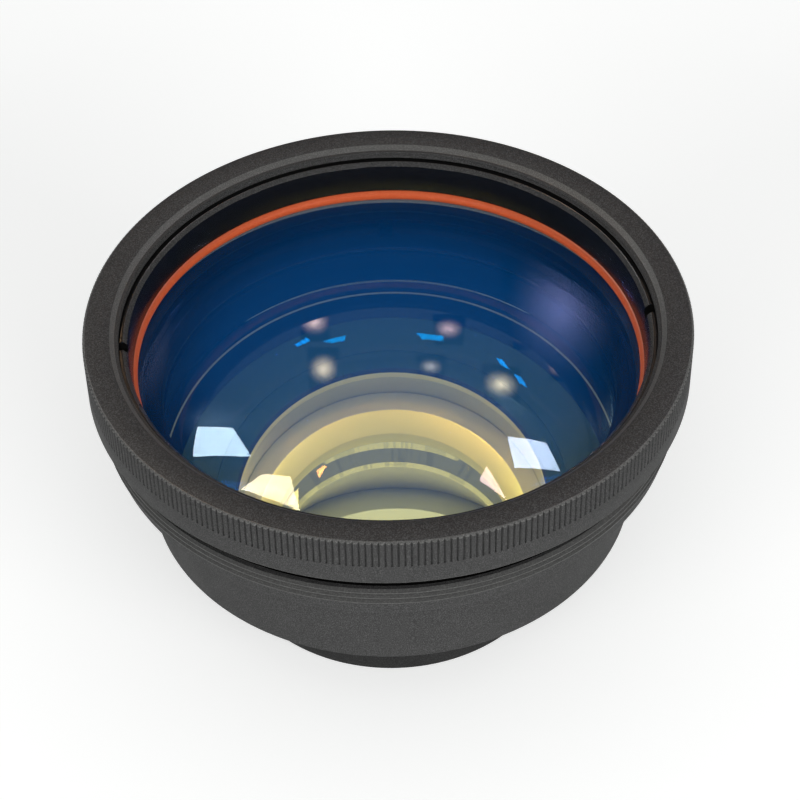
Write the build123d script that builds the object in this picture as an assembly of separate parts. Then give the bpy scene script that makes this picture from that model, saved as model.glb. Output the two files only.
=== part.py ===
from build123d import *
from math import copysign, cos, pi, sin, sqrt
import os

# F theta scan lens for an M85 x 1 scan head, standing on its nose.
# Millimetres. Origin: centre of the nose's end face. +Z: the optical axis, up through the exit window.
# The beam enters through the nose at the bottom and leaves through the flat window at the top.

# ---- fits and contacts ----
thread_clearance = 0.05        # radial, between a threaded ring or cell and its bore
glass_clearance = 0.10         # radial, between a ground edge and its bore
contact_gap = 0.01             # film left where a curved surface meets a ring

# ---- barrel, outside, stacked upwards from the nose ----
nose_length = 7.6
cone_height = 8.8
cone_end_radius = 29.3
body_step = 5.9                # how far the body stands in from the thread
body_height = 15.4
pilot_height = 2.7
pilot_step = 0.7               # the pilot stays under the thread's minor diameter
thread_radius = 42.5           # M85 x 1, major diameter 85
thread_height = 3.1
relief_depth = 1.0
relief_height = 2.75
flange_overhang = 1.5          # how far the flange stands out from the thread
flange_height = 8.15
edge_chamfer = 0.3

# ---- straight knurl round the top of the flange ----
knurl_height = 4.6
knurl_flutes = 315
knurl_depth = 0.25
flute_share = 0.42             # part of each pitch that the V flute takes

# ---- window, its seat and its retaining ring, measured down from the flange's face ----
window_inset = 4.0             # how far the window's edge stands in from the thread
window_depth = 8.75
window_thickness = 3.0
window_edge_chamfer = 0.25
window_seat_width = 2.2        # ledge under the gasket
gasket_thickness = 0.3
window_cord = 0.9              # half of the seal's 1.8 mm section
ring_recess = 1.95
ring_overlap = 0.85            # the ring's thread is this much wider than the window
ring_wall = 1.55
ring_bore_chamfer = 0.55
rim_step = 0.15                # from the ring's thread to the chamfer of the rim
rim_chamfer = 0.65
notch_width = 1.7
notch_depth = 1.4
notch_angle = 4.0              # the two spanner notches lie on this line through the axis

# ---- middle lens: hollow side down, on the barrel's seat ----
seat_height = 7.65             # above the barrel's end face
seat_width = 2.9
seat_edge_chamfer = 0.3
middle_inset = 4.5             # how far the lens's edge stands in from the window's
middle_bottom_curve = 147.5    # a positive curve bulges towards +Z
middle_bottom_flat = 1.6       # the glass is ground flat over this width at its rim
middle_thickness = 5.1
middle_top_curve = 108.0

# ---- spacer and exit lens above it ----
spacer_bearing = 0.6           # how far the spacer reaches in over the middle lens
spacer_length = 10.0
spacer_chamfer = 0.3
exit_overhang = 0.8            # the exit lens is this much wider than the middle lens
exit_bottom_curve = 590.0
exit_bottom_flat = 1.5
exit_thickness = 6.35
exit_top_curve = 108.0

# ---- soft ring and threaded ring that hold the stack down ----
exit_cord = 0.5                # half of the soft ring's section
exit_ring_overlap = 0.7        # the ring's thread is this much wider than the lens
exit_ring_wall = 1.9
exit_ring_height = 3.5
exit_step_clearance = 0.2      # the lens bore ends this far under the ring
exit_ring_chamfer = 0.6
exit_ring_slot_width = 2.0
exit_ring_slot_depth = 1.2

# ---- barrel floor under the middle lens ----
floor_height = 3.5             # above the barrel's end face, flush with the cell's boss
floor_wall_draft = 1.8         # the wall under the seat leans in by this much

# ---- entrance cell: the nose ----
nose_radius = 25.65
nose_chamfer = 0.4
cell_thread_radius = 23.55     # radius of the barrel's bore for the cell
cell_boss_height = 3.5         # above the cell's shoulder
seal_cord = 0.4                # half of the dust seal's section
cell_mouth_taper = 0.15        # the mouth opens this much wider than the ring's bore
cell_mouth_height = 2.8
cell_mouth_chamfer = 0.35
entrance_radius = 19.5
entrance_seat_height = 2.3     # above the nose's end face
entrance_seat_width = 3.8
entrance_flare = 3.1           # the aperture opens this much wider at the end face
entrance_edge = 4.0            # thickness of the lens at its rim
entrance_top_curve = -59.0     # negative: hollow towards the exit
entrance_top_flat = 3.9
entrance_step_drop = 0.2       # the thread bore ends this far under the lens's rim

# ---- entrance lens retaining ring ----
entrance_ring_overlap = 0.75   # the ring's thread is this much wider than the lens
entrance_ring_wall = 4.6
entrance_ring_bevel = 2.1      # width of the bevelled mouth
entrance_ring_height = 1.9
entrance_ring_lip = 0.9        # straight part of the ring's bore
entrance_slot_width = 2.0
entrance_slot_depth = 0.8

# ---- grub screws that lock the cell ----
screw_count = 3
screw_radius = 0.8
screw_clearance = 0.05
screw_length = 5.0
screw_height = 2.1             # above the barrel's end face
screw_angle = 90.0             # of the first screw
socket_radius = 0.4
socket_depth = 1.0

# ---- radii worked out from the sizes above ----
flange_radius = thread_radius + flange_overhang
body_radius = thread_radius - body_step
pilot_radius = thread_radius - pilot_step
relief_radius = thread_radius - relief_depth
window_radius = thread_radius - window_inset
ring_thread_radius = window_radius + ring_overlap
ring_outer_radius = ring_thread_radius - thread_clearance
ring_bore_radius = ring_outer_radius - ring_wall
rim_radius = ring_thread_radius + rim_step + rim_chamfer
window_bore_radius = window_radius + glass_clearance
window_seat_radius = window_radius - window_seat_width
window_cord_radius = window_radius - window_cord
middle_radius = window_radius - middle_inset
exit_radius = middle_radius + exit_overhang
exit_ring_thread_radius = exit_radius + exit_ring_overlap
exit_ring_bore_radius = exit_ring_thread_radius - exit_ring_wall
exit_cord_radius = exit_radius - exit_cord
spacer_inner_radius = middle_radius - spacer_bearing
seat_inner_radius = middle_radius - seat_width
floor_wall_radius = seat_inner_radius - floor_wall_draft
boss_radius = cell_thread_radius - thread_clearance
seal_radius = boss_radius + seal_cord + contact_gap
cell_ring_radius = entrance_radius + entrance_ring_overlap
cell_mouth_radius = cell_ring_radius + cell_mouth_taper
entrance_aperture_radius = entrance_radius - entrance_seat_width
entrance_ring_bore_radius = cell_ring_radius - thread_clearance - entrance_ring_wall

# ---- levels worked out from the sizes above ----
body_bottom = nose_length + cone_height
body_top = body_bottom + body_height
pilot_top = body_top + pilot_height
thread_top = pilot_top + thread_height
flange_bottom = thread_top + relief_height
total_height = flange_bottom + flange_height
seat_level = nose_length + seat_height
window_top = total_height - window_depth
window_bottom = window_top - window_thickness
window_seat_level = window_bottom - gasket_thickness
ring_bottom = window_top + 2 * window_cord
ring_top = total_height - ring_recess


def surface_height(apex, curve, radius):
    """Height at a radius of a ball surface whose pole is at the apex height; a curve of 0 is flat."""
    if curve == 0:
        return apex
    return apex - curve + copysign(sqrt(curve**2 - radius**2), curve)


def apex_height(rim_height, curve, radius):
    """Pole height of a ball surface that passes through a rim."""
    return rim_height - surface_height(0, curve, radius)


def turned(points):
    """Solid turned about the axis from a closed outline of (radius, height) points."""
    outline = Polyline(*[(radius, 0, height) for radius, height in points], close=True)
    return revolve(make_face(outline), Axis.Z, 360)


def surface_line(apex, curve, radius):
    """Outline of a polished surface, from the axis out to a radius."""
    rim = (radius, 0, surface_height(apex, curve, radius))
    if curve == 0:
        return Line((0, 0, apex), rim)
    halfway = (radius / 2, 0, surface_height(apex, curve, radius / 2))
    return ThreePointArc((0, 0, apex), halfway, rim)


def ground_lens(radius, bottom, top):
    """Round lens. Each side is (apex, curve, clear radius) and is ground flat outside its clear radius."""
    edges = [surface_line(*bottom), surface_line(*top), Line((0, 0, bottom[0]), (0, 0, top[0]))]
    bottom_rim = surface_height(*bottom)
    top_rim = surface_height(*top)
    if bottom[2] < radius:
        edges.append(Line((bottom[2], 0, bottom_rim), (radius, 0, bottom_rim)))
    if top[2] < radius:
        edges.append(Line((top[2], 0, top_rim), (radius, 0, top_rim)))
    edges.append(Line((radius, 0, bottom_rim), (radius, 0, top_rim)))
    return revolve(make_face(Wire(edges)), Axis.Z, 360)


def cord_ring(centre_radius, cord_radius, height):
    """Round-section sealing ring."""
    return Pos(0, 0, height) * Torus(centre_radius, cord_radius)


def cord_on_lens(apex, curve, centre_radius, cord_radius):
    """Height at which a round-section ring lies on a bulging lens surface."""
    reach = curve + cord_radius + contact_gap
    return apex - curve + sqrt(reach**2 - centre_radius**2)


def spanner_slots(radius, width, depth, top, angle):
    """Cutter for a pair of spanner slots across the top of a ring."""
    bar = Box(2 * radius + width, width, 2 * depth)
    return Pos(0, 0, top) * Rot(0, 0, angle) * bar


def knurl_cutter():
    """Everything outside the fluted outline, over the height of the knurl."""
    pitch = 2 * pi / knurl_flutes
    root_radius = flange_radius - knurl_depth
    outline = []
    for flute in range(knurl_flutes):
        root_angle = flute * pitch
        land_start = root_angle + flute_share * pitch / 2
        land_end = root_angle + pitch - flute_share * pitch / 2
        outline.append((root_radius * cos(root_angle), root_radius * sin(root_angle)))
        outline.append((flange_radius * cos(land_start), flange_radius * sin(land_start)))
        outline.append((flange_radius * cos(land_end), flange_radius * sin(land_end)))
    fluted = make_face(Polyline(*outline, close=True))
    waste = Circle(flange_radius + 1) - fluted
    return Pos(0, 0, total_height - knurl_height) * extrude(waste, knurl_height + 1)


def screw_places():
    """Turns about the axis at which the lock screws sit."""
    return [screw_angle + 360 * index / screw_count for index in range(screw_count)]


def radial_rod(radius, inner, outer, height, angle):
    """Rod that points at the axis, between two radii."""
    rod = Cylinder(radius, outer - inner)
    return Rot(0, 0, angle) * Pos((inner + outer) / 2, 0, height) * Rot(0, 90, 0) * rod


def make_barrel():
    """Knurled flange, thread relief, thread, pilot, body and cone, with the stepped lens bore."""
    exit_step = exit_ring_level - exit_step_clearance
    middle_bore_radius = middle_radius + glass_clearance
    lens_bore_radius = exit_radius + glass_clearance
    seal_chamfer = seal_cord * (2 + sqrt(2))
    outside = [
        (cone_end_radius, nose_length),
        (body_radius, body_bottom),
        (body_radius, body_top),
        (pilot_radius - edge_chamfer, body_top),
        (pilot_radius, body_top + edge_chamfer),
        (pilot_radius, pilot_top),
        (thread_radius, pilot_top),
        (thread_radius, thread_top),
        (relief_radius, thread_top),
        (relief_radius, flange_bottom),
        (flange_radius - edge_chamfer, flange_bottom),
        (flange_radius, flange_bottom + edge_chamfer),
        (flange_radius, total_height - edge_chamfer),
        (flange_radius - edge_chamfer, total_height),
    ]
    inside = [
        (rim_radius, total_height),
        (rim_radius - rim_chamfer, total_height - rim_chamfer),
        (ring_thread_radius, total_height - rim_chamfer),
        (ring_thread_radius, ring_bottom - contact_gap),
        (window_bore_radius, ring_bottom - contact_gap),
        (window_bore_radius, window_seat_level),
        (window_seat_radius, window_seat_level),
        (window_seat_radius, exit_ring_top),
        (exit_ring_thread_radius, exit_ring_top),
        (exit_ring_thread_radius, exit_step),
        (lens_bore_radius, exit_step),
        (lens_bore_radius, spacer_bottom - contact_gap),
        (middle_bore_radius, spacer_bottom - contact_gap),
        (middle_bore_radius, seat_level),
        (seat_inner_radius + seat_edge_chamfer, seat_level),
        (seat_inner_radius, seat_level - seat_edge_chamfer),
        (floor_wall_radius, nose_length + floor_height),
        (cell_thread_radius, nose_length + floor_height),
        (cell_thread_radius, nose_length + seal_chamfer),
        (cell_thread_radius + seal_chamfer, nose_length),
    ]
    barrel = turned(outside + inside) - knurl_cutter()
    for angle in screw_places():
        hole_height = nose_length + screw_height
        hole_radius = screw_radius + screw_clearance
        barrel -= radial_rod(hole_radius, cell_thread_radius - 1, body_radius, hole_height, angle)
    return barrel


def make_window_retaining_ring():
    """Tall threaded ring with two spanner notches; its foot presses the seal."""
    ring = turned([
        (ring_bore_radius, ring_bottom),
        (ring_outer_radius, ring_bottom),
        (ring_outer_radius, ring_top),
        (ring_bore_radius + ring_bore_chamfer, ring_top),
        (ring_bore_radius, ring_top - ring_bore_chamfer),
    ])
    return ring - spanner_slots(ring_outer_radius, notch_width, notch_depth, ring_top, notch_angle)


def make_protective_window():
    """Flat glass disc with a fine edge chamfer on both faces."""
    chamfered = window_radius - window_edge_chamfer
    return turned([
        (0, window_bottom),
        (chamfered, window_bottom),
        (window_radius, window_bottom + window_edge_chamfer),
        (window_radius, window_top - window_edge_chamfer),
        (chamfered, window_top),
        (0, window_top),
    ])


def make_window_gasket():
    """Thin flat ring between the window and the barrel's ledge."""
    return turned([
        (window_seat_radius, window_seat_level),
        (window_radius, window_seat_level),
        (window_radius, window_bottom),
        (window_seat_radius, window_bottom),
    ])


def make_lens_spacer():
    """Ring that sets the air space; its sharp lower edge bears on the middle lens."""
    return turned([
        (spacer_inner_radius, spacer_bottom),
        (exit_radius, spacer_bottom),
        (exit_radius, spacer_top - spacer_chamfer),
        (exit_radius - spacer_chamfer, spacer_top),
        (spacer_inner_radius, spacer_top),
    ])


def make_exit_lens_retaining_ring():
    """Threaded ring with two slots that clamps the lens stack."""
    outer = exit_ring_thread_radius - thread_clearance
    ring = turned([
        (exit_ring_bore_radius, exit_ring_level),
        (outer, exit_ring_level),
        (outer, exit_ring_top),
        (exit_ring_bore_radius + exit_ring_chamfer, exit_ring_top),
        (exit_ring_bore_radius, exit_ring_top - exit_ring_chamfer),
    ])
    return ring - spanner_slots(outer, exit_ring_slot_width, exit_ring_slot_depth, exit_ring_top, 90)


def make_entrance_cell():
    """Nose: threaded boss, shoulder, stepped bore for the entrance lens and a flared aperture."""
    boss_top = nose_length + cell_boss_height
    mouth_bottom = boss_top - cell_mouth_height
    lens_bore_radius = entrance_radius + glass_clearance
    return turned([
        (entrance_aperture_radius + entrance_flare, 0),
        (nose_radius - nose_chamfer, 0),
        (nose_radius, nose_chamfer),
        (nose_radius, nose_length),
        (boss_radius, nose_length),
        (boss_radius, boss_top),
        (cell_mouth_radius + cell_mouth_chamfer, boss_top),
        (cell_mouth_radius, boss_top - cell_mouth_chamfer),
        (cell_ring_radius, mouth_bottom),
        (cell_ring_radius, entrance_rim - entrance_step_drop),
        (lens_bore_radius, entrance_rim - entrance_step_drop),
        (lens_bore_radius, entrance_seat_height),
        (entrance_aperture_radius, entrance_seat_height),
    ])


def make_entrance_lens_retaining_ring():
    """Threaded ring with a wide bevelled mouth and two slots."""
    bottom = entrance_rim
    top = bottom + entrance_ring_height
    outer = cell_ring_radius - thread_clearance
    ring = turned([
        (entrance_ring_bore_radius, bottom),
        (outer, bottom),
        (outer, top),
        (entrance_ring_bore_radius + entrance_ring_bevel, top),
        (entrance_ring_bore_radius, bottom + entrance_ring_lip),
    ])
    return ring - spanner_slots(outer, entrance_slot_width, entrance_slot_depth, top, 0)


def make_cell_lock_screws():
    """Headless socket screws, seated on the cell's boss."""
    inner = boss_radius + contact_gap
    outer = inner + screw_length
    height = nose_length + screw_height
    screws = []
    for angle in screw_places():
        screw = radial_rod(screw_radius, inner, outer, height, angle)
        screw -= radial_rod(socket_radius, outer - socket_depth, outer + 1, height, angle)
        screws.append(screw)
    return Compound(screws)


# ---- levels of the lens stack, from the seat upwards ----
middle_bottom_clear = middle_radius - middle_bottom_flat
middle_bottom_apex = apex_height(seat_level, middle_bottom_curve, middle_bottom_clear)
middle_top_apex = middle_bottom_apex + middle_thickness
spacer_bottom = surface_height(middle_top_apex, middle_top_curve, spacer_inner_radius) + contact_gap
spacer_top = spacer_bottom + spacer_length
exit_bottom_clear = exit_radius - exit_bottom_flat
exit_bottom_apex = apex_height(spacer_top, exit_bottom_curve, exit_bottom_clear)
exit_top_apex = exit_bottom_apex + exit_thickness
exit_cord_height = cord_on_lens(exit_top_apex, exit_top_curve, exit_cord_radius, exit_cord)
exit_ring_level = exit_cord_height + exit_cord
exit_ring_top = exit_ring_level + exit_ring_height
entrance_rim = entrance_seat_height + entrance_edge
entrance_top_clear = entrance_radius - entrance_top_flat
entrance_top_apex = apex_height(entrance_rim, entrance_top_curve, entrance_top_clear)

parts = {
    "barrel": make_barrel(),
    "window_retaining_ring": make_window_retaining_ring(),
    "window_o_ring": cord_ring(window_cord_radius, window_cord, window_top + window_cord),
    "protective_window": make_protective_window(),
    "window_gasket": make_window_gasket(),
    "exit_lens_retaining_ring": make_exit_lens_retaining_ring(),
    "exit_lens_o_ring": cord_ring(exit_cord_radius, exit_cord, exit_cord_height),
    "exit_lens": ground_lens(
        exit_radius,
        (exit_bottom_apex, exit_bottom_curve, exit_bottom_clear),
        (exit_top_apex, exit_top_curve, exit_radius),
    ),
    "lens_spacer": make_lens_spacer(),
    "middle_lens": ground_lens(
        middle_radius,
        (middle_bottom_apex, middle_bottom_curve, middle_bottom_clear),
        (middle_top_apex, middle_top_curve, middle_radius),
    ),
    "entrance_cell": make_entrance_cell(),
    "cell_o_ring": cord_ring(seal_radius, seal_cord, nose_length + seal_cord + contact_gap),
    "cell_lock_screws": make_cell_lock_screws(),
    "entrance_lens_retaining_ring": make_entrance_lens_retaining_ring(),
    "entrance_lens": ground_lens(
        entrance_radius,
        (entrance_seat_height, 0, entrance_radius),
        (entrance_top_apex, entrance_top_curve, entrance_top_clear),
    ),
}

os.makedirs("parts", exist_ok=True)
for name, solid in parts.items():
    export_step(solid, f"parts/{name}.step")
    print(f"{name}: {solid.volume:.1f} mm3")
print(f"total height {total_height:.2f}, air space under the window {window_bottom - exit_top_apex:.2f}")
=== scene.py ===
import math

import bmesh
import bpy
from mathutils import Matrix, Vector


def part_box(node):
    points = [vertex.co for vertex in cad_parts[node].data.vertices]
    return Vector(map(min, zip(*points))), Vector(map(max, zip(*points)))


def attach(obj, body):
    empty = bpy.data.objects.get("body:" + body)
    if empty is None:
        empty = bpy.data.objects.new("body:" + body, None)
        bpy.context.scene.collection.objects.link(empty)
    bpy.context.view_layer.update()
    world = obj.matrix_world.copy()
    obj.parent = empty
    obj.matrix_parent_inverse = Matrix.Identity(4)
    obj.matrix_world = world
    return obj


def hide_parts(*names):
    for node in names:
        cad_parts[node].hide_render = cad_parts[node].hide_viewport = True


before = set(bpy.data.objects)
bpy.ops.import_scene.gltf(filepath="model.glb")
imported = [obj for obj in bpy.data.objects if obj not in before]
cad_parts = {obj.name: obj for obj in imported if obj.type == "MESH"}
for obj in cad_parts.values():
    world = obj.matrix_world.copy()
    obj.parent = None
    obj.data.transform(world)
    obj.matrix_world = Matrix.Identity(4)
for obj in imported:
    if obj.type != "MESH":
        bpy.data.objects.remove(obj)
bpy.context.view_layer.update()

# ---- Barrel ----
# The barrel is one turning of aluminium: a knurled flange, a relief groove, the M85 x 1 thread, a
# smooth pilot, the body and a cone under it. The flutes of the knurl run out through its top edge.
# It is bead blasted and anodised black, which leaves a matte, faintly speckled skin.
MM = 0.001
FULL_TURN = math.tau
SECTORS = 15
THREAD_STEPS = 300

knurl_flutes = 315
knurl_height = 4.6
knurl_depth = 0.25
knurl_runout = 0.12
flute_share = 0.42
relief_drop = 8.15
relief_height = 2.75
relief_depth = 2.5
thread_pitch = 1.0
thread_depth = 0.61
thread_height = 3.1
thread_step = 1.5
pilot_step = 2.2
pilot_height = 2.7
body_step = 7.4
body_height = 15.4
cone_step = 14.7
cone_land = 0.25
pilot_chamfer = 0.3
rim_chamfer = 0.65
rim_step = 0.15
ring_thread_pitch = 0.75
ring_thread_depth = 0.4
thread_runout = 0.2
screw_hole_radius = 0.85
screw_hole_height = 2.1


def extent(node):
    """Outer radius, bottom and top of a turned CAD node, in millimetres."""
    low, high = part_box(node)
    return high.x / MM, low.z / MM, high.z / MM


def wire_outline(bm, corners, rounding=0.0, segments=2):
    """Closed wire through (radius, height) corners in millimetres, with each corner broken."""
    wire = [bm.verts.new((radius * MM, 0, height * MM)) for radius, height in corners]
    for here, after in zip(wire, wire[1:] + wire[:1]):
        bm.edges.new((here, after))
    if rounding:
        bmesh.ops.bevel(
            bm, geom=wire, offset=rounding * MM, offset_type="OFFSET", segments=segments,
            profile=0.5, affect="VERTICES", material=-1,
        )


def spin_round(bm, steps=360, turns=1, rise=0.0):
    """Spins the wire round the optical axis in equal sectors and joins them; rise is per turn."""
    bmesh.ops.spin(
        bm, geom=bm.verts[:] + bm.edges[:], cent=(0, 0, 0), axis=(0, 0, 1),
        angle=FULL_TURN / SECTORS, steps=steps // SECTORS, dvec=(0, 0, rise * MM / steps),
    )
    sector = bm.verts[:] + bm.edges[:] + bm.faces[:]
    for index in range(1, turns * SECTORS):
        copied = bmesh.ops.duplicate(bm, geom=sector)["geom"]
        verts = [part for part in copied if isinstance(part, bmesh.types.BMVert)]
        share = index / SECTORS
        turn = Matrix.Rotation(share * FULL_TURN, 3, "Z")
        bmesh.ops.rotate(bm, verts=verts, cent=(0, 0, 0), matrix=turn)
        bmesh.ops.translate(bm, verts=verts, vec=(0, 0, share * rise * MM))
    bmesh.ops.remove_doubles(bm, verts=bm.verts[:], dist=0.0005 * MM)
    bmesh.ops.recalc_face_normals(bm, faces=bm.faces[:])


def cut_away(bm, cutter):
    """The bmesh with the cutter's closed shapes taken out of it. Both bmeshes are used up."""
    solids = []
    for shape in (bm, cutter):
        mesh = bpy.data.meshes.new("blank")
        shape.to_mesh(mesh)
        shape.free()
        solids.append(bpy.data.objects.new("blank", mesh))
        bpy.context.scene.collection.objects.link(solids[-1])
    work, tool = solids
    cut = work.modifiers.new("cut", "BOOLEAN")
    cut.operation = "DIFFERENCE"
    cut.solver = "MANIFOLD"
    cut.object = tool
    depsgraph = bpy.context.evaluated_depsgraph_get()
    result = bmesh.new()
    result.from_object(work, depsgraph)
    for solid in solids:
        bpy.data.meshes.remove(solid.data)
    return result


def add_thread(bm, root_radius, crest_radius, pitch, bottom, top):
    """Joins a right-hand vee ridge to a cylinder, cut off square at both ends of its band."""
    turns = math.ceil((top - bottom) / pitch) + 1
    ridge = bmesh.new()
    start = bottom - pitch / 2
    section = [
        ridge.verts.new((root_radius * MM, 0, (start - 0.49 * pitch) * MM)),
        ridge.verts.new((crest_radius * MM, 0, (start - 0.08 * pitch) * MM)),
        ridge.verts.new((crest_radius * MM, 0, (start + 0.08 * pitch) * MM)),
        ridge.verts.new((root_radius * MM, 0, (start + 0.49 * pitch) * MM)),
    ]
    for pair in zip(section, section[1:] + section[:1]):
        ridge.edges.new(pair)
    spin_round(ridge, steps=THREAD_STEPS, turns=turns, rise=pitch)
    for height, outwards in ((bottom, -1), (top, 1)):
        bmesh.ops.bisect_plane(
            ridge, geom=ridge.verts[:] + ridge.edges[:] + ridge.faces[:], dist=1e-8,
            plane_co=(0, 0, height * MM), plane_no=(0, 0, outwards), clear_outer=True,
        )
        rims = [edge for edge in ridge.edges if edge.is_boundary]
        bmesh.ops.holes_fill(ridge, edges=rims, sides=0)
    bmesh.ops.recalc_face_normals(ridge, faces=ridge.faces[:])
    mesh = bpy.data.meshes.new("ridge")
    ridge.to_mesh(mesh)
    ridge.free()
    bm.from_mesh(mesh)
    bpy.data.meshes.remove(mesh)


def fit_piece(name, bm, finishes, nodes, sharp_angle=32):
    """Object of that finish on the lens's one body, standing for its CAD nodes."""
    mesh = bpy.data.meshes.new(name)
    bm.to_mesh(mesh)
    bm.free()
    mesh.shade_smooth()
    mesh.set_sharp_from_angle(angle=math.radians(sharp_angle))
    for finish in finishes:
        mesh.materials.append(finish)
    obj = bpy.data.objects.new(name, mesh)
    bpy.context.scene.collection.objects.link(obj)
    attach(obj, "root")
    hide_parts(*nodes)
    return obj


def group_sockets(tree, inputs, outputs):
    """Gives a node group its named sockets and returns its input and output nodes."""
    for name, kind, value in inputs:
        socket = tree.interface.new_socket(name, in_out="INPUT", socket_type=kind)
        socket.default_value = value
    for name, kind in outputs:
        tree.interface.new_socket(name, in_out="OUTPUT", socket_type=kind)
    return tree.nodes.new("NodeGroupInput"), tree.nodes.new("NodeGroupOutput")


def blasted_skin_group():
    """Fine pits of a bead-blasted face, with speckled and slightly cloudy colour."""
    tree = bpy.data.node_groups.new("blasted_skin", "ShaderNodeTree")
    taken, given = group_sockets(
        tree,
        [
            ("Colour", "NodeSocketColor", (0.02, 0.02, 0.02, 1)),
            ("Speckle Colour", "NodeSocketColor", (0.08, 0.08, 0.08, 1)),
            ("Speckle Amount", "NodeSocketFloat", 0.5),
            ("Pits Per Metre", "NodeSocketFloat", 4500.0),
            ("Roughness", "NodeSocketFloat", 0.5),
        ],
        [
            ("Colour", "NodeSocketColor"),
            ("Roughness", "NodeSocketFloat"),
            ("Height", "NodeSocketFloat"),
        ],
    )
    nodes, links = tree.nodes, tree.links
    place = nodes.new("ShaderNodeTexCoord")
    pits = nodes.new("ShaderNodeTexNoise")
    pits.inputs["Detail"].default_value = 2.0
    pits.inputs["Roughness"].default_value = 0.6
    links.new(place.outputs["Object"], pits.inputs["Vector"])
    links.new(taken.outputs["Pits Per Metre"], pits.inputs["Scale"])
    clouds = nodes.new("ShaderNodeTexNoise")
    clouds.inputs["Scale"].default_value = 140.0
    clouds.inputs["Detail"].default_value = 3.0
    links.new(place.outputs["Object"], clouds.inputs["Vector"])
    glints = nodes.new("ShaderNodeMapRange")
    glints.inputs["From Min"].default_value = 0.45
    glints.inputs["From Max"].default_value = 0.78
    links.new(pits.outputs["Fac"], glints.inputs["Value"])
    amount = nodes.new("ShaderNodeMath")
    amount.operation = "MULTIPLY"
    links.new(glints.outputs["Result"], amount.inputs[0])
    links.new(taken.outputs["Speckle Amount"], amount.inputs[1])
    colour = nodes.new("ShaderNodeMix")
    colour.data_type = "RGBA"
    links.new(amount.outputs["Value"], colour.inputs["Factor"])
    links.new(taken.outputs["Colour"], colour.inputs["A"])
    links.new(taken.outputs["Speckle Colour"], colour.inputs["B"])
    links.new(colour.outputs["Result"], given.inputs["Colour"])
    cloud_swing = nodes.new("ShaderNodeMapRange")
    cloud_swing.inputs["From Min"].default_value = 0.3
    cloud_swing.inputs["From Max"].default_value = 0.7
    cloud_swing.inputs["To Min"].default_value = -0.05
    cloud_swing.inputs["To Max"].default_value = 0.05
    links.new(clouds.outputs["Fac"], cloud_swing.inputs["Value"])
    rough = nodes.new("ShaderNodeMath")
    links.new(taken.outputs["Roughness"], rough.inputs[0])
    links.new(cloud_swing.outputs["Result"], rough.inputs[1])
    links.new(rough.outputs["Value"], given.inputs["Roughness"])
    links.new(pits.outputs["Fac"], given.inputs["Height"])
    return tree


def skinned(name, colour, speckle, amount, roughness, pits, bump, bump_depth):
    """Material whose colour, roughness and pits come from the blasted skin, and its shader."""
    material = bpy.data.materials.new(name)
    material.use_nodes = True
    nodes, links = material.node_tree.nodes, material.node_tree.links
    shader = nodes["Principled BSDF"]
    skin = nodes.new("ShaderNodeGroup")
    skin.node_tree = blasted_skin
    skin.inputs["Colour"].default_value = (*colour, 1)
    skin.inputs["Speckle Colour"].default_value = (*speckle, 1)
    skin.inputs["Speckle Amount"].default_value = amount
    skin.inputs["Pits Per Metre"].default_value = pits
    skin.inputs["Roughness"].default_value = roughness
    relief = nodes.new("ShaderNodeBump")
    relief.inputs["Strength"].default_value = bump
    relief.inputs["Distance"].default_value = bump_depth * MM
    links.new(skin.outputs["Height"], relief.inputs["Height"])
    links.new(skin.outputs["Colour"], shader.inputs["Base Color"])
    links.new(skin.outputs["Roughness"], shader.inputs["Roughness"])
    links.new(relief.outputs["Normal"], shader.inputs["Normal"])
    return material, shader


def anodised(name, colour, speckle, amount, roughness, pits, bump, specular=0.5, metallic=0.0):
    """Anodised aluminium, blasted or turned, with pits 0.03 mm deep at full bump."""
    material, shader = skinned(name, colour, speckle, amount, roughness, pits, bump, 0.03)
    shader.inputs["Specular IOR Level"].default_value = specular
    shader.inputs["Metallic"].default_value = metallic
    return material


blasted_skin = blasted_skin_group()
matte_black = anodised(
    "matte_black_anodised", (0.032, 0.032, 0.032), (0.2, 0.2, 0.2), 0.5, 0.52, 7000.0, 0.2,
    specular=0.13,
)
# Near-black finish: the dull black of the bore, spacer, rings and exit lens rim, and also painted shade in
# the barrel's relief groove and on its downward thread flanks.
dull_black_and_painted_shade = anodised(
    "dull_black_and_painted_shade_anodised", (0.003, 0.003, 0.003), (0.006, 0.006, 0.006), 0.3, 0.8, 2600.0, 0.0,
    specular=0.05,
)
# Painted highlight: a lighter, glossier grey on the flange and rim chamfers.
painted_chamfer_highlight = anodised(
    "painted_chamfer_highlight", (0.065, 0.065, 0.063), (0.3, 0.3, 0.29), 0.5, 0.35, 7000.0, 0.3,
)
floor_grey = anodised(
    "floor_anodised", (0.012, 0.034, 0.026), (0.03, 0.05, 0.04), 0.3, 0.5, 2600.0, 0.0,
    specular=0.15,
)
# Painted highlight: a pale grey line on the foot of the cone and on the chamfer of the middle lens's seat.
painted_edge_glint = anodised(
    "painted_edge_glint", (0.2, 0.21, 0.19), (0.5, 0.5, 0.4), 0.3, 0.35, 2600.0, 0.1,
)
# Painted light: a lighter copy of the black skin for the thread's upward flanks.
painted_lit_thread_flank = anodised(
    "painted_lit_thread_flank", (0.055, 0.055, 0.054), (0.3, 0.3, 0.29), 0.25, 0.34, 5000.0, 0.05,
)

flange_radius, barrel_bottom, rim_height = extent("barrel")
window_radius, window_bottom, window_top = extent("protective_window")
ring_radius, ring_bottom, ring_top = extent("window_retaining_ring")
gasket_radius, window_seat, gasket_top = extent("window_gasket")
exit_radius, exit_rim, exit_apex = extent("exit_lens")
exit_ring_radius, exit_ring_bottom, exit_ring_top = extent("exit_lens_retaining_ring")
spacer_radius, spacer_bottom, spacer_top = extent("lens_spacer")
middle_radius, middle_rim, middle_apex = extent("middle_lens")

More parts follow.
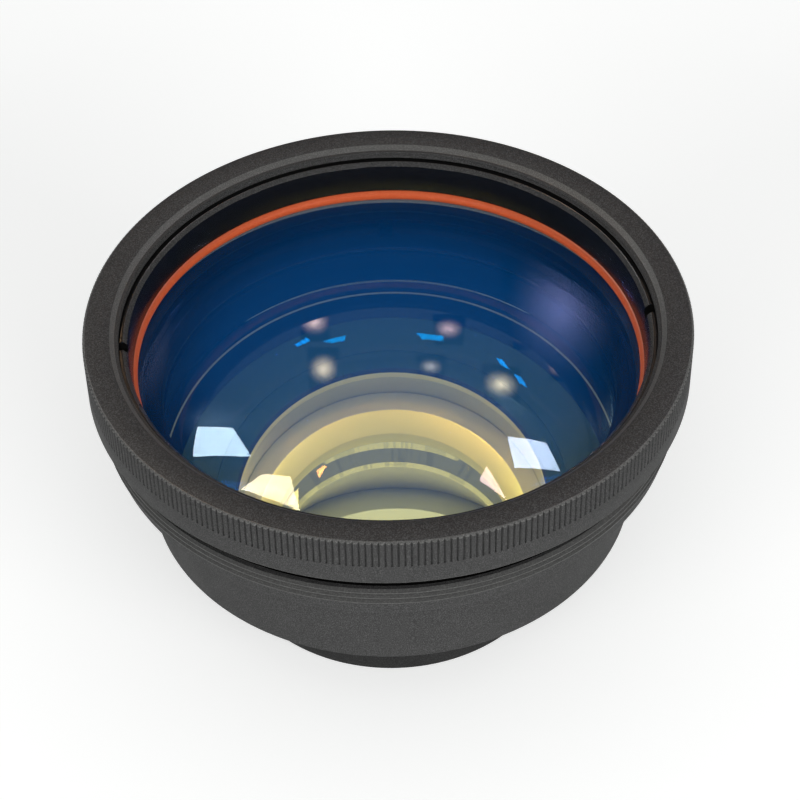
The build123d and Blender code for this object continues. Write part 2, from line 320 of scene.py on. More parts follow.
window_seat_radius = window_radius - 2.2
lens_clearance = 0.1
thread_clearance = 0.05
seat_radius = middle_radius - 2.9
seat_chamfer = 0.3
floor_wall_draft = 1.8
floor_height = 3.5
cell_bore_radius = 23.55
seal_chamfer = 1.37

relief_top = rim_height - relief_drop
thread_top = relief_top - relief_height
thread_bottom = thread_top - thread_height
pilot_bottom = thread_bottom - pilot_height
body_bottom = pilot_bottom - body_height
thread_radius = flange_radius - thread_step
thread_root = thread_radius - thread_depth
pilot_radius = flange_radius - pilot_step
body_radius = flange_radius - body_step
rim_radius = ring_radius + thread_clearance + rim_step + rim_chamfer
rim_bore = ring_radius + thread_clearance
knurl_foot = rim_height - knurl_height
flange_chamfer = 0.3

barrel = bmesh.new()
wire_outline(
    barrel,
    [
        (flange_radius - cone_step, barrel_bottom),
        (flange_radius - cone_step, barrel_bottom + cone_land),
        (body_radius, body_bottom),
        (body_radius, pilot_bottom),
        (pilot_radius - pilot_chamfer, pilot_bottom),
        (pilot_radius, pilot_bottom + pilot_chamfer),
        (pilot_radius, thread_bottom),
        (thread_root, thread_bottom),
        (thread_root, thread_top),
        (flange_radius - relief_depth, thread_top),
        (flange_radius - relief_depth, relief_top),
        (flange_radius - flange_chamfer, relief_top),
        (flange_radius, relief_top + flange_chamfer),
        (flange_radius, knurl_foot - knurl_runout),
        (flange_radius, knurl_foot),
        (flange_radius, rim_height - flange_chamfer),
        (flange_radius - flange_chamfer, rim_height),
        (rim_radius, rim_height),
        (rim_radius - rim_chamfer, rim_height - rim_chamfer),
        (rim_bore, rim_height - rim_chamfer),
        (rim_bore, ring_bottom),
        (window_radius + lens_clearance, ring_bottom),
        (window_radius + lens_clearance, window_seat),
        (window_seat_radius, window_seat),
        (window_seat_radius, exit_ring_top),
        (exit_ring_radius + thread_clearance, exit_ring_top),
        (exit_ring_radius + thread_clearance, exit_ring_bottom - thread_runout),
        (exit_radius + lens_clearance, exit_ring_bottom - thread_runout),
        (exit_radius + lens_clearance, spacer_bottom),
        (middle_radius + lens_clearance, spacer_bottom),
        (middle_radius + lens_clearance, middle_rim),
        (seat_radius + seat_chamfer, middle_rim),
        (seat_radius, middle_rim - seat_chamfer),
        (seat_radius - floor_wall_draft, barrel_bottom + floor_height),
        (cell_bore_radius, barrel_bottom + floor_height),
        (cell_bore_radius, barrel_bottom + seal_chamfer),
        (cell_bore_radius + seal_chamfer, barrel_bottom),
    ],
    rounding=0.045, segments=1,
)
spin_round(barrel, steps=3 * knurl_flutes)

flute_pitch = FULL_TURN / knurl_flutes
flute_root = flange_radius - knurl_depth
for vert in barrel.verts:
    radius = math.hypot(vert.co.x, vert.co.y) / MM
    turn = math.atan2(vert.co.y, vert.co.x) / flute_pitch
    flute = round(turn)
    in_flute = abs(turn - flute) < 0.1
    knurled = vert.co.z / MM > knurl_foot - 0.06 and radius > flute_root
    if in_flute and knurled:
        radius = flute_root
    shoulder = 0 if in_flute else math.copysign(flute_share / 2, turn - flute)
    angle = (flute + shoulder) * flute_pitch
    vert.co.x = radius * MM * math.cos(angle)
    vert.co.y = radius * MM * math.sin(angle)

screw_angles = [90, 210, 330]
drill = bmesh.new()
for angle in screw_angles:
    made = bmesh.ops.create_cone(
        drill, cap_ends=True, segments=32, radius1=screw_hole_radius * MM,
        radius2=screw_hole_radius * MM, depth=16 * MM,
    )
    turned = made["verts"]
    bmesh.ops.rotate(drill, verts=turned, cent=(0, 0, 0), matrix=Matrix.Rotation(math.pi / 2, 3, "Y"))
    bmesh.ops.translate(drill, verts=turned, vec=(30 * MM, 0, (barrel_bottom + screw_hole_height) * MM))
    bmesh.ops.rotate(
        drill, verts=turned, cent=(0, 0, 0), matrix=Matrix.Rotation(math.radians(angle), 3, "Z"),
    )
barrel = cut_away(barrel, drill)
add_thread(barrel, thread_root - 0.02, thread_radius, thread_pitch, thread_bottom, thread_top)
add_thread(
    barrel, rim_bore + 0.02, rim_bore - ring_thread_depth, ring_thread_pitch,
    ring_top - 0.1, rim_height - rim_chamfer,
)
DULL_BLACK_AND_SHADE, FLOOR, EDGE_GLINT, CHAMFER_HIGHLIGHT, LIT_FLANK = range(1, 6)
for face in barrel.faces:
    middle = face.calc_center_median()
    reach = math.hypot(middle.x, middle.y) / MM
    outward = face.normal.x * middle.x + face.normal.y * middle.y > 0.1 * reach * MM
    inside = reach < window_radius + 0.2 and not outward
    height = middle.z / MM
    cut = abs(height - knurl_foot) > 1 and 0.2 < abs(face.normal.z) < 0.98
    # Painted shade: the relief groove under the flange gets the near-black finish.
    if thread_top < height < relief_top and reach < flange_radius - 1:
        face.material_index = DULL_BLACK_AND_SHADE
    # Painted highlight along the foot of the cone.
    elif height < barrel_bottom + 0.29 and reach > flange_radius - cone_step - 0.12:
        face.material_index = EDGE_GLINT
    # Painted light and shade on the thread: flanks facing up get the lighter lit copy, flanks facing down
    # the near-black painted shade.
    elif thread_bottom - 0.3 < height < thread_top + 0.1 and reach > thread_root - 0.1:
        face.material_index = DULL_BLACK_AND_SHADE if face.normal.z < -0.3 else LIT_FLANK
    # Painted highlight on the flange chamfers and, below, on the rim chamfer.
    elif cut and reach > flange_radius - 0.35:
        face.material_index = CHAMFER_HIGHLIGHT
    elif rim_radius - rim_chamfer - 0.05 < reach < rim_radius and height > rim_height - rim_chamfer - 0.02:
        face.material_index = CHAMFER_HIGHLIGHT
    # Painted highlight on the chamfer of the middle lens's seat.
    elif (
        seat_radius - 0.05 < reach < seat_radius + seat_chamfer
        and middle_rim - seat_chamfer < height < middle_rim
    ):
        face.material_index = EDGE_GLINT
    elif inside and barrel_bottom + floor_height + 0.02 < height < window_seat + 0.01:
        face.material_index = DULL_BLACK_AND_SHADE
    elif inside and barrel_bottom + 1.5 < height < barrel_bottom + floor_height + 0.05:
        face.material_index = FLOOR
fit_piece(
    "knurled_barrel", barrel,
    [matte_black, dull_black_and_painted_shade, floor_grey, painted_edge_glint, painted_chamfer_highlight, painted_lit_thread_flank],
    ["barrel"],
)

# ---- Entrance cell ----
# The nose is a cup of the same black aluminium. It screws up into the barrel's floor, carries the
# entrance lens on a ledge above a flared aperture, and the whole lens can stand on its end face.
nose_chamfer = 0.4
boss_radius = cell_bore_radius - thread_clearance
entrance_radius, entrance_seat, entrance_rim = extent("entrance_lens")
cell_ring_radius, cell_ring_bottom, cell_ring_top = extent("entrance_lens_retaining_ring")
nose_radius, nose_bottom, boss_top = extent("entrance_cell")
mouth_taper = 0.15
mouth_height = 2.8
mouth_chamfer = 0.35
mouth_land = 0.65
mouth_land_draft = 0.04
aperture_step = 3.8
aperture_radius = entrance_radius - aperture_step
aperture_flare = 3.1
nose_top = barrel_bottom
mouth_radius = cell_ring_radius + thread_clearance + mouth_taper

satin_black = anodised(
    "satin_black_anodised", (0.004, 0.004, 0.004), (0.02, 0.02, 0.02), 0.3, 0.22, 2600.0, 0.08,
    specular=0.3,
)

cell = bmesh.new()
wire_outline(
    cell,
    [
        (aperture_radius + aperture_flare, nose_bottom),
        (nose_radius - nose_chamfer, nose_bottom),
        (nose_radius, nose_bottom + nose_chamfer),
        (nose_radius, nose_top),
        (boss_radius, nose_top),
        (boss_radius, boss_top),
        (mouth_radius + mouth_chamfer, boss_top),
        (mouth_radius, boss_top - mouth_chamfer),
        (mouth_radius - mouth_land_draft, boss_top - mouth_chamfer - mouth_land),
        (cell_ring_radius + thread_clearance, boss_top - mouth_height),
        (cell_ring_radius + thread_clearance, entrance_rim - thread_runout),
        (entrance_radius + lens_clearance, entrance_rim - thread_runout),
        (entrance_radius + lens_clearance, entrance_seat),
        (aperture_radius, entrance_seat),
    ],
    rounding=0.045,
)
spin_round(cell)
pale_bore = anodised(
    "pale_bore", (0.65, 0.66, 0.62), (0.5, 0.5, 0.5), 0.3, 0.4, 2600.0, 0.12, metallic=0.8,
)
pale_flare = anodised("pale_flare", (0.8, 0.76, 0.58), (0.9, 0.85, 0.7), 0.3, 0.5, 2600.0, 0.1)
# Painted highlight: a bright yellow line on the land just inside the mouth's chamfer.
painted_lip_highlight = anodised("painted_lip_highlight", (0.9, 0.88, 0.62), (0.9, 0.88, 0.7), 0.3, 0.4, 2600.0, 0.1)
# Painted shade: the nose's black is darker than the barrel's, for the shade under the overhanging flange.
nose_black_and_painted_shade = anodised(
    "nose_black_and_painted_shade_anodised", (0.014, 0.014, 0.014), (0.09, 0.09, 0.09), 0.5, 0.5, 7000.0, 0.3,
    specular=0.2,
)
BORE, FLARE, BOSS_TOP, LIP_HIGHLIGHT = range(1, 5)
for face in cell.faces:
    middle = face.calc_center_median()
    reach = math.hypot(middle.x, middle.y) / MM
    height = middle.z / MM
    under_top = boss_top - height
    on_land = mouth_chamfer + 0.03 < under_top < mouth_chamfer + mouth_land
    # Painted highlight on the mouth's land.
    if reach < mouth_radius + 0.01 and on_land:
        face.material_index = LIP_HIGHLIGHT
    elif height > boss_top - 0.02:
        face.material_index = BOSS_TOP
    elif 0.02 < height < entrance_seat and reach < aperture_radius + aperture_flare:
        face.material_index = FLARE
    elif reach < mouth_radius + 0.01 and height > 0.02:
        face.material_index = BORE
fit_piece(
    "nose_cell", cell, [nose_black_and_painted_shade, pale_bore, pale_flare, floor_grey, painted_lip_highlight],
    ["entrance_cell"],
)

# ---- Lock screws ----
# Three headless steel screws hold the cell. They sit deep in radial holes in the cone, blackened.
screw_radius = 0.8
screw_length = 5.0
socket_radius = 0.4
socket_depth = 1.0

blackened_steel = anodised(
    "blackened_steel", (0.07, 0.07, 0.075), (0.2, 0.2, 0.2), 0.4, 0.35, 6000.0, 0.2,
    metallic=0.8,
)

screws = bmesh.new()
for angle in screw_angles:
    made = bmesh.ops.create_cone(
        screws, cap_ends=True, segments=24, radius1=screw_radius * MM,
        radius2=screw_radius * MM, depth=screw_length * MM,
    )
    turned = set(made["verts"])
    head = max((face for face in screws.faces if turned.issuperset(face.verts)),
               key=lambda face: face.calc_center_median().z)
    bmesh.ops.inset_region(screws, faces=[head], thickness=(screw_radius - socket_radius) * MM)
    hole = bmesh.ops.extrude_discrete_faces(screws, faces=[head])["faces"]
    bmesh.ops.translate(screws, verts=hole[0].verts[:], vec=(0, 0, -socket_depth * MM))
    turned = [vert for vert in screws.verts if math.hypot(vert.co.x, vert.co.y) < 2 * screw_radius * MM]
    bmesh.ops.rotate(screws, verts=turned, cent=(0, 0, 0), matrix=Matrix.Rotation(math.pi / 2, 3, "Y"))
    middle = boss_radius + 0.01 + screw_length / 2
    bmesh.ops.translate(
        screws, verts=turned, vec=(middle * MM, 0, (barrel_bottom + screw_hole_height) * MM),
    )
    bmesh.ops.rotate(
        screws, verts=turned, cent=(0, 0, 0), matrix=Matrix.Rotation(math.radians(angle), 3, "Z"),
    )
fit_piece("grub_screws", screws, [blackened_steel], ["cell_lock_screws"])

# ---- Lenses ----
# Three round lenses of optical glass, polished on both faces and ground frosty on the rim. A blue
# anti-reflection coat covers the polished faces, so they mirror little but deep blue, and what is
# seen through the stack turns faintly yellow.
LENS_STEPS = 360
ARC_STEPS = 48
LENS_BREAK = 0.12
LOWER_FACE, UPPER_FACE, GROUND, DIM_GLOW = range(4)


def coated_glass(name, tint, mirror_tint, bloom):
    """Polished glass whose coat mirrors one tint and carries a faint blue bloom; light passes it."""
    material = bpy.data.materials.new(name)
    material.use_nodes = True
    nodes, links = material.node_tree.nodes, material.node_tree.links
    shader = nodes["Principled BSDF"]
    shader.inputs["Base Color"].default_value = (*tint, 1)
    shader.inputs["Roughness"].default_value = 0.0
    shader.inputs["IOR"].default_value = 1.52
    shader.inputs["Transmission Weight"].default_value = 1.0
    shader.inputs["Specular Tint"].default_value = (*mirror_tint, 1)
    shader.inputs["Thin Film Thickness"].default_value = 1.0
    shader.inputs["Sheen Weight"].default_value = bloom
    shader.inputs["Sheen Roughness"].default_value = 1.0
    shader.inputs["Sheen Tint"].default_value = (*coat_bloom, 1)
    kind_of_ray = nodes.new("ShaderNodeLightPath")
    passing = nodes.new("ShaderNodeMath")
    passing.operation = "MAXIMUM"
    links.new(kind_of_ray.outputs["Is Shadow Ray"], passing.inputs[0])
    links.new(kind_of_ray.outputs["Is Diffuse Ray"], passing.inputs[1])
    solidity = nodes.new("ShaderNodeMapRange")
    solidity.inputs["To Min"].default_value = 1.0
    solidity.inputs["To Max"].default_value = 0.02
    links.new(passing.outputs["Value"], solidity.inputs["Value"])
    links.new(solidity.outputs["Result"], shader.inputs["Alpha"])
    return material


def frosted_glass(name, glow_colour=(1, 1, 1), glow=0.0):
    """Fine-ground glass of a lens's rim and flats, with an optional painted glow that stands in for the
    light it gathers.
    """
    material = anodised(name, (0.42, 0.45, 0.42), (0.7, 0.72, 0.68), 0.6, 0.7, 5000.0, 0.3)
    shader = material.node_tree.nodes["Principled BSDF"]
    shader.inputs["Emission Color"].default_value = (*glow_colour, 1)
    shader.inputs["Emission Strength"].default_value = glow
    return material


def polished_face(bm, apex, curve, clear):
    """Wire of a ball surface from the axis out to its clear radius; returns the rim's vertex."""
    tip = bm.verts.new((0, 0, apex * MM))
    if not curve:
        rim = bm.verts.new((clear * MM, 0, apex * MM))
        bm.edges.new((tip, rim))
        return rim
    made = bmesh.ops.spin(
        bm, geom=[tip], cent=(0, 0, (apex - curve) * MM), axis=(0, 1, 0),
        angle=math.asin(clear / curve), steps=ARC_STEPS,
    )
    return next(part for part in made["geom_last"] if isinstance(part, bmesh.types.BMVert))


def sagitta(curve, clear):
    """Height that a ball surface falls from its pole to its clear radius."""
    return curve - math.copysign(math.sqrt(curve**2 - clear**2), curve)


def ground_lens(radius, lower, upper, rim_bevel=LENS_BREAK, steps=()):
    """Lens between two (apex, curve, clear radius) faces, ground on its rim and lower flat."""
    bm = bmesh.new()
    low_edge = polished_face(bm, *lower)
    high_edge = polished_face(bm, *upper)
    path = [low_edge]
    path += [bm.verts.new((step * MM, 0, low_edge.co.z)) for step in steps]
    for edge, side in ((low_edge, 1), (high_edge, -1)):
        rim_height_here = edge.co.z
        chamfer = bm.verts.new(((radius - rim_bevel) * MM, 0, rim_height_here))
        corner = bm.verts.new((radius * MM, 0, rim_height_here + side * rim_bevel * MM))
        path += [chamfer, corner] if side > 0 else [corner, chamfer]
    path.append(high_edge)
    for here, after in zip(path, path[1:]):
        bm.edges.new((here, after))
    spin_round(bm, LENS_STEPS)
    for face in bm.faces:
        middle = face.calc_center_median()
        reach = math.hypot(middle.x, middle.y) / MM
        upwards = face.normal.z > 0
        clear = upper[2] if upwards else lower[2]
        face.material_index = GROUND
        if reach < clear and abs(face.normal.z) > 0.5:
            face.material_index = UPPER_FACE if upwards else LOWER_FACE
    return bm


lens_tint = (0.985, 0.985, 0.79)
coat_bloom = (0.0, 0.27, 1.0)
blue_coat = coated_glass("blue_coated_glass", lens_tint, (0.04, 0.12, 0.4), 0.0)
pale_coat = coated_glass("pale_coated_glass", lens_tint, (0.55, 0.75, 1.0), 0.02)
cream_coat = coated_glass("cream_coated_glass", lens_tint, (1.0, 0.9, 0.75), 0.0)
ground_glass = frosted_glass("ground_glass")
# Painted glow: the entrance lens's ground rim and the flats by its seat emit a yellowish light though no
# lamp is there.
painted_glow_edge = frosted_glass("painted_glow_edge_glass", (1, 0.9, 0.55), 0.5)
dim_painted_glow_edge = frosted_glass("dim_painted_glow_glass", (1, 0.95, 0.8), 0.15)

seat_lip = 16.3
seat_edge = 18.0
entrance_curve = -59.0
entrance_clear = 15.6
entrance_lens = ground_lens(
    entrance_radius,
    (entrance_seat, 0, aperture_radius),
    (entrance_rim + sagitta(entrance_curve, entrance_clear), entrance_curve, entrance_clear),
    steps=(seat_lip, seat_edge),
)
# The ground flat between the seat's lip and edge takes the dimmer painted glow.
for face in entrance_lens.faces:
    middle = face.calc_center_median()
    reach = math.hypot(middle.x, middle.y) / MM
    if face.material_index == GROUND and seat_lip < reach < seat_edge:
        face.material_index = DIM_GLOW
fit_piece(
    "entrance_glass", entrance_lens, [blue_coat, cream_coat, painted_glow_edge, dim_painted_glow_edge],
    ["entrance_lens"],
)

# ---- Entrance lens retaining ring ----
# A thin threaded ring with a wide bevelled mouth holds the entrance lens. Two slots take a spanner.
ring_wall = 4.6
ring_bevel = 2.1
ring_lip = 0.9
slot_width = 2.0
slot_depth = 0.8

turned_ring = anodised(
    "turned_ring_anodised", (0.75, 0.75, 0.7), (0.6, 0.6, 0.6), 0.3, 0.4, 2600.0, 0.1,
    metallic=0.8,
)


def spanner_bar(reach, width, depth, top, angle):
    """Cutter for a pair of spanner slots across the top of a ring."""
    bar = bmesh.new()
    made = bmesh.ops.create_cube(bar, size=1)["verts"]
    bmesh.ops.scale(bar, verts=made, vec=(2 * reach * MM, width * MM, 2 * depth * MM))
    turn = Matrix.Rotation(math.radians(angle), 3, "Z")
    bmesh.ops.rotate(bar, verts=made, cent=(0, 0, 0), matrix=turn)
    bmesh.ops.translate(bar, verts=made, vec=(0, 0, top * MM))
    return bar


entrance_ring = bmesh.new()
wire_outline(
    entrance_ring,
    [
        (cell_ring_radius - ring_wall, cell_ring_bottom),
        (cell_ring_radius, cell_ring_bottom),
        (cell_ring_radius, cell_ring_top),
        (cell_ring_radius - ring_wall + ring_bevel, cell_ring_top),
        (cell_ring_radius - ring_wall, cell_ring_bottom + ring_lip),
    ],
    rounding=0.05,
)
spin_round(entrance_ring)
slots = spanner_bar(cell_ring_radius + 1, slot_width, slot_depth, cell_ring_top, 0)
entrance_ring = cut_away(entrance_ring, slots)
# The bevel faces take the painted-highlight finish.
for face in entrance_ring.faces:
    middle = face.calc_center_median()
    bevelled = math.hypot(middle.x, middle.y) / MM < cell_ring_radius - ring_wall + ring_bevel
    face.material_index = 1 if bevelled and -0.5 < face.normal.z < 0.98 else 0
# Partly painted highlight: the bevel is partly metallic, and its bright yellow colour stands in for the
# yellow band of light on it.
polished_bevel_painted_highlight = anodised(
    "polished_bevel_painted_highlight", (1.0, 0.9, 0.42), (1.0, 0.9, 0.5), 0.3, 0.4, 2600.0, 0.08, metallic=0.4,
)
fit_piece(
    "entrance_ring", entrance_ring, [turned_ring, polished_bevel_painted_highlight],
    ["entrance_lens_retaining_ring"],
)

# ---- Middle lens ----
# A thick meniscus, hollow side down, on the barrel's ledge.
middle_lower_curve = 147.5
middle_lower_clear = middle_radius - 1.6
middle_upper_curve = 108.0
middle_lens = ground_lens(
    middle_radius,
    (middle_rim + sagitta(middle_lower_curve, middle_lower_clear), middle_lower_curve, middle_lower_clear),
    (middle_apex, middle_upper_curve, middle_radius - LENS_BREAK),
)
fit_piece(
    "middle_glass", middle_lens, [blue_coat, blue_coat, ground_glass], ["middle_lens"],
)

# ---- Spacer and exit lens ----
# The spacer is a plain black ring whose sharp lower edge bears on the middle lens. The exit lens
# lies on it, with its full curve upwards.
spacer_wall = spacer_radius - middle_radius + 0.6
spacer = bmesh.new()
wire_outline(
    spacer,
    [
        (spacer_radius - spacer_wall, spacer_bottom),
        (spacer_radius, spacer_bottom),
        (spacer_radius, spacer_top),
        (spacer_radius - spacer_wall, spacer_top),
    ],
    rounding=0.05,
)
spin_round(spacer)
fit_piece("air_spacer", spacer, [dull_black_and_painted_shade], ["lens_spacer"])

exit_lower_curve = 590.0
exit_lower_clear = exit_radius - 1.5
exit_upper_curve = 108.0
exit_lens = ground_lens(
    exit_radius,
    (exit_rim + sagitta(exit_lower_curve, exit_lower_clear), exit_lower_curve, exit_lower_clear),
    (exit_apex, exit_upper_curve, exit_radius - LENS_BREAK),
)
fit_piece("exit_glass", exit_lens, [blue_coat, pale_coat, dull_black_and_painted_shade], ["exit_lens"])

# ---- Soft rings ----
# Round cords of rubber and silicone: a black one under the exit lens's ring, a black dust seal at
# the nose and the wide orange one that seals the window. A flat black gasket lies under the window.
CORD_FACETS = 24


def moulded(name, colour, cloud_colour, roughness, subsurface, specular):
    """Moulded elastomer with a soft bloom and fine dust in its skin."""
    material, shader = skinned(name, colour, cloud_colour, 0.25, roughness, 1800.0, 0.1, 0.02)
    shader.inputs["Specular IOR Level"].default_value = specular
    shader.inputs["Subsurface Weight"].default_value = subsurface
    shader.inputs["Subsurface Radius"].default_value = (0.6 * MM, 0.25 * MM, 0.1 * MM)
    shader.inputs["Subsurface Scale"].default_value = 1.0
    return material


orange_silicone = moulded("orange_silicone", (0.6, 0.1, 0.03), (0.75, 0.2, 0.08), 0.38, 0.05, 0.5)
black_rubber = moulded("black_rubber", (0.006, 0.006, 0.006), (0.015, 0.015, 0.015), 0.55, 0.0, 0.15)


def sealing_cord(node):
    """Round cord ring that fills its CAD node's box."""
    outer, bottom, top = extent(node)
    cord_radius = (top - bottom) / 2
    bm = bmesh.new()
    made = bmesh.ops.create_circle(
        bm, cap_ends=False, segments=CORD_FACETS, radius=cord_radius * MM,
    )["verts"]
    bmesh.ops.rotate(bm, verts=made, cent=(0, 0, 0), matrix=Matrix.Rotation(math.pi / 2, 3, "X"))
    bmesh.ops.translate(bm, verts=made, vec=((outer - cord_radius) * MM, 0, (bottom + cord_radius) * MM))
    spin_round(bm)
    return bm


for name, finish, slot_name, node in (
    ("orange_seal", orange_silicone, "orange_silicone", "window_o_ring"),
    ("exit_lens_seal", black_rubber, "black_rubber", "exit_lens_o_ring"),
    ("dust_seal", black_rubber, "black_rubber", "cell_o_ring"),
):
    fit_piece(name, sealing_cord(node), [finish], [node])

glass_gap = 0.01
gasket = bmesh.new()
wire_outline(
    gasket,
    [
        (window_seat_radius, window_seat),
        (gasket_radius, window_seat),
        (gasket_radius, gasket_top - glass_gap),
        (window_seat_radius, gasket_top - glass_gap),
    ],
)
spin_round(gasket)
fit_piece("flat_gasket", gasket, [black_rubber], ["window_gasket"])

# ---- Exit lens retaining ring ----
# Threaded ring over the soft ring, with two spanner slots. It is hidden under the barrel's ledge.
exit_ring_wall = 1.85
exit_ring_chamfer = 0.6
exit_slot_width = 2.0
exit_slot_depth = 1.2
exit_slot_angle = 90
exit_ring = bmesh.new()
wire_outline(
    exit_ring,
    [
        (exit_ring_radius - exit_ring_wall, exit_ring_bottom),
        (exit_ring_radius, exit_ring_bottom),
        (exit_ring_radius, exit_ring_top),
        (exit_ring_radius - exit_ring_wall + exit_ring_chamfer, exit_ring_top),
        (exit_ring_radius - exit_ring_wall, exit_ring_top - exit_ring_chamfer),
    ],
    rounding=0.05,
)
spin_round(exit_ring)
exit_slots = spanner_bar(
    exit_ring_radius + 1, exit_slot_width, exit_slot_depth, exit_ring_top, exit_slot_angle,
)
exit_ring = cut_away(exit_ring, exit_slots)
fit_piece("exit_ring", exit_ring, [dull_black_and_painted_shade], ["exit_lens_retaining_ring"])

# ---- Window ----
# A flat disc of coated glass with a fine ground chamfer. It closes the lens against dust.
window_chamfer = 0.25
window_coat = coated_glass("window_coated_glass", (0.99, 0.99, 0.97), (0.05, 0.09, 0.3), 0.13)
window_rim = anodised("window_rim", (0.1, 0.11, 0.11), (0.4, 0.4, 0.4), 0.4, 0.6, 5000.0, 0.2)
window = ground_lens(
    window_radius,
    (window_bottom, 0, window_radius - window_chamfer),
    (window_top, 0, window_radius - window_chamfer),
    rim_bevel=window_chamfer,
)
fit_piece(
    "flat_window", window, [window_coat, window_coat, window_rim], ["protective_window"],
)

# ---- Window retaining ring ----
# A tall threaded ring, turned and anodised satin black, presses the orange seal on the window. Two
# notches across its top edge take a spanner.
ring_bore_wall = 1.55
ring_bore_draft = 0.5
ring_bore_chamfer = 0.55
notch_width = 1.7
notch_depth = 1.4
notch_angle = 4.0

window_ring = bmesh.new()
wire_outline(
    window_ring,
    [
        (ring_radius - ring_bore_wall - ring_bore_draft, ring_bottom),
        (ring_radius, ring_bottom),
        (ring_radius, ring_top),
        (ring_radius - ring_bore_wall + ring_bore_chamfer, ring_top),
        (ring_radius - ring_bore_wall, ring_top - ring_bore_chamfer),
    ],
    rounding=0.06,
)
spin_round(window_ring, 480)
notches = spanner_bar(ring_radius + 1, notch_width, notch_depth, ring_top, notch_angle)
window_ring = cut_away(window_ring, notches)
# Painted highlight: a lighter, glossier black on the ring's top chamfer than on the rest of the ring.
ring_edge_painted_highlight = anodised("ring_edge_painted_highlight", (0.03, 0.03, 0.03), (0.2, 0.2, 0.2), 0.3, 0.25, 5000.0, 0.1)
for face in window_ring.faces:
    face.material_index = 1 if 0.3 < face.normal.z < 0.98 else 0
fit_piece("window_ring", window_ring, [satin_black, ring_edge_painted_highlight], ["window_retaining_ring"])

# ---- Table, light and camera ----
# The lens stands on a white table in a white light tent. Glowing panels behind it show in the
# glass, two soft lamps fill its front and a narrow beam from above lights the bore.
table_size = 4.0
table_mesh = bmesh.new()
bmesh.ops.create_grid(table_mesh, x_segments=1, y_segments=1, size=table_size / 2)
mesh = bpy.data.meshes.new("table")
table_mesh.to_mesh(mesh)
table_mesh.free()
table = bpy.data.objects.new("table", mesh)
bpy.context.scene.collection.objects.link(table)

table_white = bpy.data.materials.new("table_white")
table_white.use_nodes = True
nodes, links = table_white.node_tree.nodes, table_white.node_tree.links
shader = nodes["Principled BSDF"]
shader.inputs["Base Color"].default_value = (0.86, 0.87, 0.86, 1)
shader.inputs["Roughness"].default_value = 0.75
shader.inputs["Specular IOR Level"].default_value = 0.0
shader.inputs["Emission Color"].default_value = (1, 1, 1, 1)
kind_of_ray = nodes.new("ShaderNodeLightPath")
lift = nodes.new("ShaderNodeMath")
lift.operation = "MULTIPLY"
lift.inputs[1].default_value = 0.42
links.new(kind_of_ray.outputs["Is Camera Ray"], lift.inputs[0])
links.new(lift.outputs["Value"], shader.inputs["Emission Strength"])
mesh.materials.append(table_white)

scene = bpy.context.scene
world = bpy.data.worlds.new("light_tent")
scene.world = world
world.use_nodes = True
nodes, links = world.node_tree.nodes, world.node_tree.links
tent = nodes["Background"]
tent.inputs["Color"].default_value = (1, 1, 1, 1)
kind_of_ray = nodes.new("ShaderNodeLightPath")
seen = nodes.new("ShaderNodeMath")
seen.operation = "MAXIMUM"
links.new(kind_of_ray.outputs["Is Camera Ray"], seen.inputs[0])
links.new(kind_of_ray.outputs["Is Transmission Ray"], seen.inputs[1])
strength = nodes.new("ShaderNodeMapRange")
strength.inputs["To Min"].default_value = 0.42
strength.inputs["To Max"].default_value = 1.0
links.new(seen.outputs["Value"], strength.inputs["Value"])
mirrored = nodes.new("ShaderNodeMapRange")
mirrored.inputs["To Min"].default_value = 1.0
mirrored.inputs["To Max"].default_value = 0.35
links.new(kind_of_ray.outputs["Is Glossy Ray"], mirrored.inputs["Value"])
total = nodes.new("ShaderNodeMath")
total.operation = "MULTIPLY"
links.new(strength.outputs["Result"], total.inputs[0])
links.new(mirrored.outputs["Result"], total.inputs[1])
links.new(total.outputs["Value"], tent.inputs["Strength"])


def towards(turn, elevation):
    """Direction from the lens; turn is from +Y towards +X. Both angles are in degrees."""
    out, up = math.radians(turn), math.radians(elevation)
    return Vector((math.sin(out) * math.cos(up), math.cos(out) * math.cos(up), math.sin(up)))


def soft_glow_group():
    """Strength of a glow that fades from the middle of a panel to its edges."""
    tree = bpy.data.node_groups.new("soft_glow", "ShaderNodeTree")
    taken, given = group_sockets(
        tree, [("Radiance", "NodeSocketFloat", 1.0)], [("Strength", "NodeSocketFloat")],
    )
    nodes, links = tree.nodes, tree.links
    place = nodes.new("ShaderNodeTexCoord")
    centred = nodes.new("ShaderNodeMapping")
    centred.inputs["Location"].default_value = (-1, -1, -1)
    centred.inputs["Scale"].default_value = (2, 2, 2)
    falloff = nodes.new("ShaderNodeTexGradient")
    falloff.gradient_type = "QUADRATIC_SPHERE"
    strength = nodes.new("ShaderNodeMath")
    strength.operation = "MULTIPLY"
    links.new(place.outputs["Generated"], centred.inputs["Vector"])
    links.new(centred.outputs["Vector"], falloff.inputs["Vector"])
    links.new(falloff.outputs["Fac"], strength.inputs[0])
    links.new(taken.outputs["Radiance"], strength.inputs[1])
    links.new(strength.outputs["Value"], given.inputs["Strength"])
    return tree


